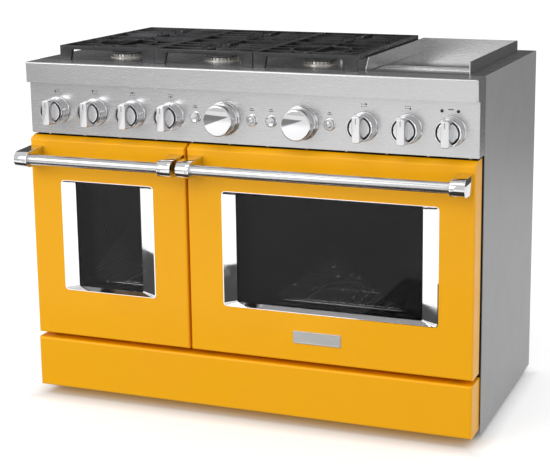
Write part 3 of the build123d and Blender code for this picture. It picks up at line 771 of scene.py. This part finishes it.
def makeSmallKnob(name, x):
    # a skirted shell, a disc set in a groove painted black as shade, and a raised grip bar across it
    k = smallKnob
    base = (x, knobBaseY, knobZ)
    outer, depth, disc = k["outer"], k["depth"], k["disc"]
    shell = stackRings(name, base, (0, -1, 0), scaled([
        (k["skirt"] - 0.8, 0), (k["skirt"], 0.8), (k["skirt"] - 0.4, 5), (outer + 0.2, 20), (outer, 23),
        (outer, depth - 2.2), (outer - 0.5, depth - 0.8), (outer - 1.6, depth), (outer - 3.2, depth),
        (outer - 3.8, depth - 0.6), (outer - 4.0, depth - 6)]), 72)
    shell.data.materials.append(chrome)
    grooveY = knobBaseY - (depth - 0.4) * milli
    # the groove's walls and floor round the disc are painted black as shade
    paintFaces(shell, paintedShadeAndBlackParts, lambda c: fromAxis(c, x) < (outer - 3.7) * milli and c.y > grooveY)
    smooth(shell, 32)
    cap = stackRings(name + "Disc", base, (0, -1, 0), scaled([
        (disc - 0.5, depth - 6.2), (disc, depth - 5), (disc, depth - 1.4), (disc - 0.5, depth - 0.4),
        (disc - 1.6, depth), (disc - 1.8, depth - 0.05)]), 64)
    cap.data.materials.append(chrome)
    paintFaces(cap, spunSteel, lambda c: fromAxis(c, x) < 1 * milli)
    smooth(cap, 32)
    roundUv(cap, x, knobZ, disc * milli)
    half = k["gripHalf"] * milli
    reach = (outer - 1.2) * milli
    frontY = knobBaseY - (depth + k["grip"]) * milli
    grip = addBox(name + "Grip", (x - half, frontY, knobZ - reach),
                  (x + half, knobBaseY - (depth - 5) * milli, knobZ + reach))
    pickFaces(grip, lambda centre, normal: normal.y < -0.9)
    editMode("FACE")
    bpy.ops.transform.resize(value=(k["taper"], 1, 0.98), center_override=(x, knobBaseY, knobZ))
    objectMode()
    pickEdges(grip, lambda a, b: abs(a.y - b.y) > 5 * milli)
    editMode("EDGE")
    bpy.ops.mesh.bevel(offset=4.5 * milli, segments=6, profile=0.5)
    objectMode()
    bevelAll(grip, 1.6 * milli, 4, 40)
    smooth(grip, 40)
    grip.data.materials.append(steelDeep)
    thin = k["lineHalf"] * milli
    line = addBox(name + "Line", (x - thin, frontY - 0.15 * milli, knobZ + reach * 0.45),
                  (x + thin, frontY + 1 * milli, knobZ + reach * 0.86))
    bevelAll(line, 0.1 * milli, 2)
    line.data.materials.append(paintedShadeAndBlackParts)
    return joinAll(name, [shell, cap, grip, line, addSpindle(name + "Spindle", base)])


def makeOvenKnob(name, x):
    # a stepped shell with a shallow dished face and a mark on its rim
    k = ovenKnob
    base = (x, knobBaseY, knobZ)
    outer, depth = k["outer"], k["depth"]
    shell = stackRings(name, base, (0, -1, 0), scaled([
        (k["skirt"] - 1, 0), (k["skirt"], 1), (k["skirt"] - 0.6, 4), (outer + 1.2, 9.4), (outer, 10.2),
        (outer, 12), (outer, depth - 4), (outer - 1.0, depth - 1.6), (k["face"] + 1.4, depth - 0.2),
        (k["face"] + 0.4, depth)]), 84)
    shell.data.materials.append(chrome)
    smooth(shell, 30)
    face = stackRings(name + "Face", base, (0, -1, 0), scaled([
        (k["face"] + 0.3, depth - 1), (k["face"] + 0.3, depth + 0.02), (k["face"] - 0.4, depth - 0.3),
        (18, depth - 0.9), (6, depth - 1.3), (2.2, depth - 1.4)]), 84)
    face.data.materials.append(spunSteel)
    smooth(face, 30)
    roundUv(face, x, knobZ, k["face"] * milli)
    mark = addBox(name + "Mark", (x - 1.1 * milli, knobBaseY - 36 * milli, knobZ + (outer - 1) * milli),
                  (x + 1.1 * milli, knobBaseY - 12 * milli, knobZ + (outer + 1) * milli))
    bevelAll(mark, 0.4 * milli, 2)
    activate(mark)
    editMode("VERT")
    bpy.ops.mesh.select_all(action="SELECT")
    turn = -math.radians(k["markTurn"])
    bpy.ops.transform.rotate(value=turn, orient_axis="Y", center_override=(x, 0, knobZ))
    objectMode()
    mark.data.materials.append(chrome)
    return joinAll(name, [shell, face, mark, addSpindle(name + "Spindle", base)])


def centreX(node):
    low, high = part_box(node)
    return (low.x + high.x) / 2


smallKnobNodes = [f"knob_burner_{i}" for i in range(1, 7)] + ["knob_griddle"]
firstX = centreX(smallKnobNodes[0])
pattern = makeSmallKnob("smallKnob1", firstX)
copies = [pattern]
for index, node in enumerate(smallKnobNodes[1:], 2):
    copies.append(copyTo(pattern, f"smallKnob{index}", (centreX(node) - firstX, 0, 0)))
for piece, node in zip(copies, smallKnobNodes):
    finishPiece(piece, node, [node])

ovenKnobNodes = ["knob_left_oven", "knob_right_oven"]
firstOvenX = centreX(ovenKnobNodes[0])
ovenPattern = makeOvenKnob("ovenKnob1", firstOvenX)
ovenTwin = copyTo(ovenPattern, "ovenKnob2", (centreX(ovenKnobNodes[1]) - firstOvenX, 0, 0))
for piece, node in zip((ovenPattern, ovenTwin), ovenKnobNodes):
    finishPiece(piece, node, [node])
print("knobs made")

buttonSizes = {"radius": 12.5, "reach": 8.0, "stemRadius": 5.0}


def makeButton(name, x, domed):
    # a turned cap on a stem, with a raised centre or a shallow dish
    b = buttonSizes
    base = (x, panelY, knobZ)
    radius, reach = b["radius"], b["reach"]
    if domed:
        profile = [(radius, 2.5), (radius, reach - 2), (radius - 0.8, reach - 1.2),
                   (radius - 2.6, reach - 1.0), (radius - 3.4, reach - 2.2), (radius - 5, reach - 2.2),
                   (radius - 5.4, reach - 1.2), (radius - 7, reach - 0.2), (radius - 9.5, reach)]
    else:
        profile = [(radius, 2.5), (radius, reach - 1.6), (radius - 0.7, reach - 0.4), (radius - 1.6, reach),
                   (radius - 2.4, reach - 0.4), (4, reach - 1.2), (1, reach - 1.4)]
    cap = stackRings(name, base, (0, -1, 0), scaled(profile), 40)
    cap.data.materials.append(steelHandle)
    smooth(cap, 32)
    stemRadius = b["stemRadius"]
    stem = stackRings(name + "Stem", base, (0, -1, 0), scaled([(stemRadius, -10), (stemRadius, 2.6)]), 20)
    stem.data.materials.append(footPlastic)
    return joinAll(name, [cap, stem])


for index in range(1, 5):
    node = f"button_{index}"
    piece = makeButton(f"pushButton{index}", centreX(node), index in (2, 4))
    finishPiece(piece, node, [node])


# outer radius, bore and height of the ring behind each kind of control
ringSizes = {"small": (37.0, 31.0, 4.6), "oven": (44.0, 38.0, 4.6), "button": (15.5, 12.9, 2.4)}


def makeRing(name, x, outer, inner, proud):
    # a raised ring: its bore is extruded back down to the panel
    ring = stackRings(name, (x, panelY, knobZ), (0, -1, 0), scaled([
        (outer, 0), (outer, proud * 0.35), (outer - 0.8, proud * 0.7), (outer - 2.0, proud * 0.95),
        (outer - 2.8, proud), (inner + 0.6, proud), (inner, proud - 0.5), (inner, 0.3)]), 72)
    ring.data.materials.append(chrome)
    # the floor of the bore is painted black as shade
    paintFaces(ring, paintedShadeAndBlackParts, lambda c: fromAxis(c, x) < inner * 0.5 * milli)
    smooth(ring, 34)
    return ring


rings = [makeRing(f"ring{node}", centreX(node), *ringSizes["small"]) for node in smallKnobNodes]
rings += [makeRing(f"ring{node}", centreX(node), *ringSizes["oven"]) for node in ovenKnobNodes]
rings += [makeRing(f"ringButton{i}", centreX(f"button_{i}"), *ringSizes["button"]) for i in range(1, 5)]
finishPiece(joinAll("knobRings", rings), "root", ["knob_bezels"])

lensRadius = 4
lensLow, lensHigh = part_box("indicator_lenses")
lensZ = (lensLow.z + lensHigh.z) / 2
lenses = []
for index, x in enumerate((lensLow.x + lensRadius * milli, lensHigh.x - lensRadius * milli)):
    lens = stackRings(f"lens{index}", (x, panelY, lensZ), (0, -1, 0), scaled([
        (2.9, -8), (2.9, 0), (lensRadius, 0), (lensRadius, 1.0), (3.4, 1.6), (2.2, 1.95), (1, 2)]), 28)
    smooth(lens, 60)
    lenses.append(lens)
lensPair = joinAll("indicatorLenses", lenses)
finishPiece(lensPair, "root", ["indicator_lenses"], [lensPlastic])
print("buttons, rings and lenses made")


marks = {"inkDepth": 0.12, "height": 836, "pitch": 5.6, "solid": 4.6, "small": 2.2, "griddle": (13, 2.6),
         "scaleRadius": 49.5, "scaleDot": 1.3,
         "buttonLong": (810, 12), "buttonShort": (814, 8), "thickness": 1.8}


def addDash(name, x, z, wide, tall):
    frontY = panelY / milli
    low = Vector((x - wide / 2, frontY - marks["inkDepth"], z - tall / 2)) * milli
    high = Vector((x + wide / 2, frontY + 0.1, z + tall / 2)) * milli
    obj = addBox(name, low, high)
    bevelAll(obj, 0.05 * milli, 1)
    return obj


def addBurnerMark(x, lit):
    # six little squares in two rows, with the burner that the knob works drawn solid
    parts = []
    pitch = marks["pitch"]
    for row in range(2):
        for column in range(3):
            size = marks["solid"] if (column, row) == lit else marks["small"]
            z = marks["height"] + (row - 0.5) * pitch
            parts.append(addDash("mark", x / milli + (column - 1) * pitch, z, size, size))
    return parts


printed = []
litSquares = [(0, 0), (0, 1), (1, 1), (1, 0), (2, 1), (2, 0)]
for node, lit in zip(smallKnobNodes[:6], litSquares):
    printed += addBurnerMark(centreX(node), lit)
griddleX = centreX("knob_griddle") / milli
printed.append(addDash("mark", griddleX - 2, marks["height"], *marks["griddle"]))
for node in ovenKnobNodes:
    x = centreX(node) / milli
    reach, dot = marks["scaleRadius"], marks["scaleDot"]
    for step in range(11):
        turn = math.radians(-150 + step * 30)
        z = knobZ / milli + math.cos(turn) * reach
        printed.append(addDash("mark", x + math.sin(turn) * reach, z, dot, dot))
for index in range(1, 5):
    x = centreX(f"button_{index}") / milli
    for z, wide in (marks["buttonLong"], marks["buttonShort"]):
        printed.append(addDash("mark", x, z, wide, marks["thickness"]))
finishPiece(joinAll("panelMarks", printed), "root", [], [inkGrey])
print("panel marks made")


capBaseZ = 921 * milli


def makeBurnerCap(name, place):
    cap = stackRings(name, (place.x, place.y, capBaseZ), (0, 0, 1), scaled([
        (38.5, 0), (40.6, 0.4), (41, 1.2), (41, 3.6), (40.4, 4.9), (38.6, 5.9), (34, 6.6), (22, 6.9),
        (8, 7.0)]), 60)
    smooth(cap, 40)
    return cap


caps = [makeBurnerCap(f"cap{i}", place) for i, place in enumerate(burnerPlaces)]
finishPiece(joinAll("burnerCaps", caps), "root", ["burner_caps"], [capEnamel])

footRadius, nutZ = 20, 22 * milli
feetLow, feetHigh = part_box("levelling_feet")
feet = []
for x in (feetLow.x + footRadius * milli, feetHigh.x - footRadius * milli):
    for y in (feetLow.y + footRadius * milli, feetHigh.y - footRadius * milli):
        pad = stackRings("foot", (x, y, 0), (0, 0, 1), scaled([
            (18.5, 0), (footRadius, 1.5), (footRadius, 6), (18.5, 7.8), (8, 8), (6, 8.4), (6, 22),
            (6, 30)]), 36)
        pad.data.materials.append(footPlastic)
        nut = stackRings("nut", (x, y, nutZ), (0, 0, 1), scaled([
            (10, 0), (11, 0.6), (11, 5.4), (10, 6)]), 6)
        nut.data.materials.append(galvanised)
        smooth(pad, 35)
        feet += [pad, nut]
finishPiece(joinAll("levellingFeet", feet), "root", ["levelling_feet"])

lamp = {"places": (-500, -46, 502), "y": 254, "z": 590}
lamps = []
for x in lamp["places"]:
    place = Vector((x, lamp["y"], lamp["z"])) * milli
    holder = stackRings("lampHolder", place, (0, -1, 0), scaled([(26, 0), (26, 3), (25, 4), (21, 4)]), 40)
    holder.data.materials.append(galvanised)
    dome = stackRings("lampDome", place, (0, -1, 0),
                      scaled([(20, 3.5), (20, 9), (18.5, 12.5), (15, 14.8), (9, 15.8), (3, 16)]), 40)
    dome.data.materials.append(lampGlass)
    smooth(dome, 50)
    smooth(holder, 35)
    lamps += [holder, dome]
finishPiece(joinAll("ovenLamps", lamps), "root", ["oven_lamps"])
print("caps, feet and lamps made")


rack = {"rim": 3.0, "wire": 1.75, "bar": 2.4, "front": -170, "back": 205, "levels": (298, 478), "pitch": 26,
        "corner": 12, "wireRise": 3.2, "wall": 18, "barPlaces": (0.048, 0.36, 0.68)}


def makeRack(name, left, right, level):
    # a round-cornered rim of rod, a row of wires across it and three bars under them
    r = rack
    z = (level + r["rim"]) * milli
    x0, x1 = left + r["rim"] * milli, right - r["rim"] * milli
    y0, y1 = r["front"] * milli, r["back"] * milli
    deselectAll()
    bpy.ops.mesh.primitive_plane_add(size=1, location=((x0 + x1) / 2, (y0 + y1) / 2, z))
    rim = bpy.context.active_object
    rim.scale = (x1 - x0, y1 - y0, 1)
    applyPlace(rim)
    editMode("VERT")
    bpy.ops.mesh.select_all(action="SELECT")
    bpy.ops.mesh.bevel(offset=r["corner"] * milli, segments=5, affect="VERTICES")
    bpy.ops.mesh.delete(type="ONLY_FACE")
    objectMode()
    activate(rim)
    bpy.ops.object.convert(target="CURVE")
    rim.data.bevel_depth = r["rim"] * milli
    rim.data.bevel_resolution = 3
    bpy.ops.object.convert(target="MESH")
    parts = [rim]
    count = round((x1 - x0) / milli / r["pitch"])
    pitch = (x1 - x0) / count
    deselectAll()
    bpy.ops.mesh.primitive_cylinder_add(vertices=10, radius=r["wire"] * milli, depth=y1 - y0,
                                        location=(x0 + pitch, (y0 + y1) / 2, z + r["wireRise"] * milli),
                                        rotation=(math.pi / 2, 0, 0))
    wires = bpy.context.active_object
    applyPlace(wires)
    bevelAll(wires, 0.6 * milli, 1)
    array = wires.modifiers.new("row", "ARRAY")
    array.use_relative_offset = False
    array.use_constant_offset = True
    array.constant_offset_displace = (pitch, 0, 0)
    array.count = count - 1
    bpy.ops.object.modifier_apply(modifier=array.name)
    parts.append(wires)
    for share in r["barPlaces"]:
        deselectAll()
        bpy.ops.mesh.primitive_cylinder_add(vertices=14, radius=r["bar"] * milli, depth=x1 - x0,
                                            location=((x0 + x1) / 2, y0 + (y1 - y0) * share, z),
                                            rotation=(0, math.pi / 2, 0))
        bar = bpy.context.active_object
        applyPlace(bar)
        bevelAll(bar, 0.6 * milli, 1)
        parts.append(bar)
    whole = joinAll(name, parts)
    smooth(whole, 40)
    return whole


racks = []
for side in ("left", "right"):
    low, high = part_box(f"{side}_oven_liner")
    wall = rack["wall"] * milli
    for number, level in enumerate(rack["levels"]):
        racks.append(makeRack(f"{side}Rack{number}", low.x + wall, high.x - wall, level))
finishPiece(joinAll("ovenRacks", racks), "root", ["oven_racks"], [wirePlate])
print("racks made")


# a thin raised border round a blank nameplate
plateLow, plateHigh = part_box("nameplate")
plateRim = {"inset": 3 * milli, "half": 0.3 * milli, "width": 1.2 * milli, "sink": 0.4 * milli}
rimInset, rimHalf = plateRim["inset"], plateRim["half"]
border = addBox("nameplateBorder", (plateLow.x + rimInset, plateLow.y - rimHalf, plateLow.z + rimInset),
                (plateHigh.x - rimInset, plateLow.y + rimHalf, plateHigh.z - rimInset))
pickFaces(border, lambda centre, normal: normal.y < -0.9)
editMode("FACE")
bpy.ops.mesh.inset(thickness=plateRim["width"], depth=0)
bpy.ops.transform.translate(value=(0, plateRim["sink"], 0))
objectMode()
bevelAll(border, 0.15 * milli, 2)
finishPiece(border, "right_door", [], [plateSteel])


def addScrew(x, z):
    head = stackRings("screw", (x, backScrew["y"], z), (0, 1, 0), scaled([
        (4.2, 0), (4.2, 0.6), (3.6, 1.5), (2.2, 2.0), (1.9, 2.0), (1.6, 1.1)]), 20)
    smooth(head, 35)
    return head


backScrew = {"y": 362.2 * milli, "rows": (40, 895), "across": (-585, -400, -200, 0, 200, 400, 585),
             "columns": (-585, 585), "up": (220, 400, 580, 760)}
screwPlaces = [(x, z) for x in backScrew["across"] for z in backScrew["rows"]]
screwPlaces += [(x, z) for z in backScrew["up"] for x in backScrew["columns"]]
screws = [addScrew(x * milli, z * milli) for x, z in screwPlaces]
finishPiece(joinAll("backScrews", screws), "root", [], [galvanised])
print("trim made")


studio = {
    "camera": (1.3905, -3.4119, 1.3414),
    "yaw": 20.42,
    "pitch": -11.61,
    "roll": -0.38,
    "lens": 91.3,
    "shift": (-0.0891, -0.1009),
    "worldStrength": 0.84,
    "worldBelow": 0.55,
    "floorGlow": 0.4,
    "softboxes": [  # name, place, target, size, power
        ("key", (-2.2, -4.2, 2.6), (0, -0.2, 0.5), (2.4, 2.4), 61),
        ("top", (0.1, -1.3, 3.3), (0, -0.25, 0.4), (2.4, 1.0), 12),
        ("fill", (3.4, -2.4, 1.8), (0.3, 0, 0.5), (1.6, 1.6), 8),
    ],
    "flags": [  # name, low corner, high corner, shade
        ("floorFlagLeft", (-2.6, -0.98, 0.002), (0.0, -0.3, 0.004), 0.03),
        ("floorFlagRight", (0.001, -1.66, 0.002), (1.4, -0.3, 0.004), 0.03),
        ("sideFlag", (-9, -9, 0.002), (-2.1, -2.4, 0.004), 0.3),
        ("backFlag", (-7, 3.2, 0.0), (7, 3.25, 5.5), 0.1),
    ],
}


def makeFloor():
    # the paper glows a little, so it stays white, and the glow fades out round the range's footprint, a
    # painted shadow under it
    deselectAll()
    bpy.ops.mesh.primitive_plane_add(size=60, location=(0, 0, 0))
    floor = bpy.context.active_object
    floor.name = "floor"
    material, tree, shader, place = startMaterial("floorPaper", roughness=0.8, colour=(0.8, 0.8, 0.8))
    shader.inputs["Emission Color"].default_value = (1, 1, 1, 1)
    split = tree.nodes.new("ShaderNodeSeparateXYZ")
    tree.links.new(place, split.inputs["Vector"])
    reaches = []
    for axis, half in (("X", 0.6), ("Y", 0.29)):
        size = mathNode(tree, "ABSOLUTE")
        beyond = mathNode(tree, "SUBTRACT", half)
        tree.links.new(split.outputs[axis], size.inputs[0])
        tree.links.new(size.outputs["Value"], beyond.inputs[0])
        reaches.append(beyond)
    furthest = mathNode(tree, "MAXIMUM")
    tree.links.new(reaches[0].outputs["Value"], furthest.inputs[0])
    tree.links.new(reaches[1].outputs["Value"], furthest.inputs[1])
    # no glow within the footprint and a soft rise beyond it: painted shadow under and in front of the range
    glow = rangeNode(tree, -0.02, 0.05, 0.0, studio["floorGlow"])
    tree.links.new(furthest.outputs["Value"], glow.inputs["Value"])
    tree.links.new(glow.outputs["Result"], shader.inputs["Emission Strength"])
    floor.data.materials.append(material)
    floor.visible_diffuse = False


def addSoftbox(name, place, target, size, power):
    light = bpy.data.lights.new(name, "AREA")
    light.shape = "RECTANGLE"
    light.size, light.size_y = size
    light.energy = power
    obj = bpy.data.objects.new(name, light)
    bpy.context.scene.collection.objects.link(obj)
    obj.location = place
    aim = Vector(target) - Vector(place)
    obj.rotation_euler = aim.to_track_quat("-Z", "Y").to_euler()
    obj.visible_camera = False


def addFlag(name, low, high, shade):
    # a dark card that only reflections show
    card = addBox(name, low, high)
    cloth = startMaterial(name + "Cloth", roughness=0.9, colour=(shade, shade, shade))[0]
    card.data.materials.append(cloth)
    card.visible_camera = False
    card.visible_shadow = False
    card.visible_diffuse = False
    card.visible_transmission = False


def makeStudio():
    # a white world, darker underneath, three softboxes and the cards
    s = studio
    world = bpy.data.worlds.new("studio")
    bpy.context.scene.world = world
    world.use_nodes = True
    tree = world.node_tree
    background = tree.nodes["Background"]
    background.inputs["Strength"].default_value = s["worldStrength"]
    place = tree.nodes.new("ShaderNodeTexCoord")
    split = tree.nodes.new("ShaderNodeSeparateXYZ")
    rise = rangeNode(tree, -0.35, 0.05)
    tree.links.new(place.outputs["Generated"], split.inputs["Vector"])
    tree.links.new(split.outputs["Z"], rise.inputs["Value"])
    low, high = s["worldBelow"], 1.0
    shade = mixColours(tree, rise.outputs["Result"], (low, low, low), (high, high, high))
    tree.links.new(shade, background.inputs["Color"])
    for softbox in s["softboxes"]:
        addSoftbox(*softbox)
    makeFloor()
    for flag in s["flags"]:
        addFlag(*flag)
    bpy.context.scene.view_settings.view_transform = "Standard"


def makeCamera():
    s = studio
    data = bpy.data.cameras.new("camera")
    data.lens = s["lens"]
    data.sensor_width = 36
    data.shift_x, data.shift_y = s["shift"]
    camera = bpy.data.objects.new("camera", data)
    bpy.context.scene.collection.objects.link(camera)
    turn = (Matrix.Rotation(math.radians(s["yaw"]), 4, "Z")
            @ Matrix.Rotation(math.radians(90 + s["pitch"]), 4, "X")
            @ Matrix.Rotation(math.radians(s["roll"]), 4, "Z"))
    camera.matrix_world = Matrix.Translation(s["camera"]) @ turn
    bpy.context.scene.camera = camera


makeStudio()
makeCamera()
print("studio made")
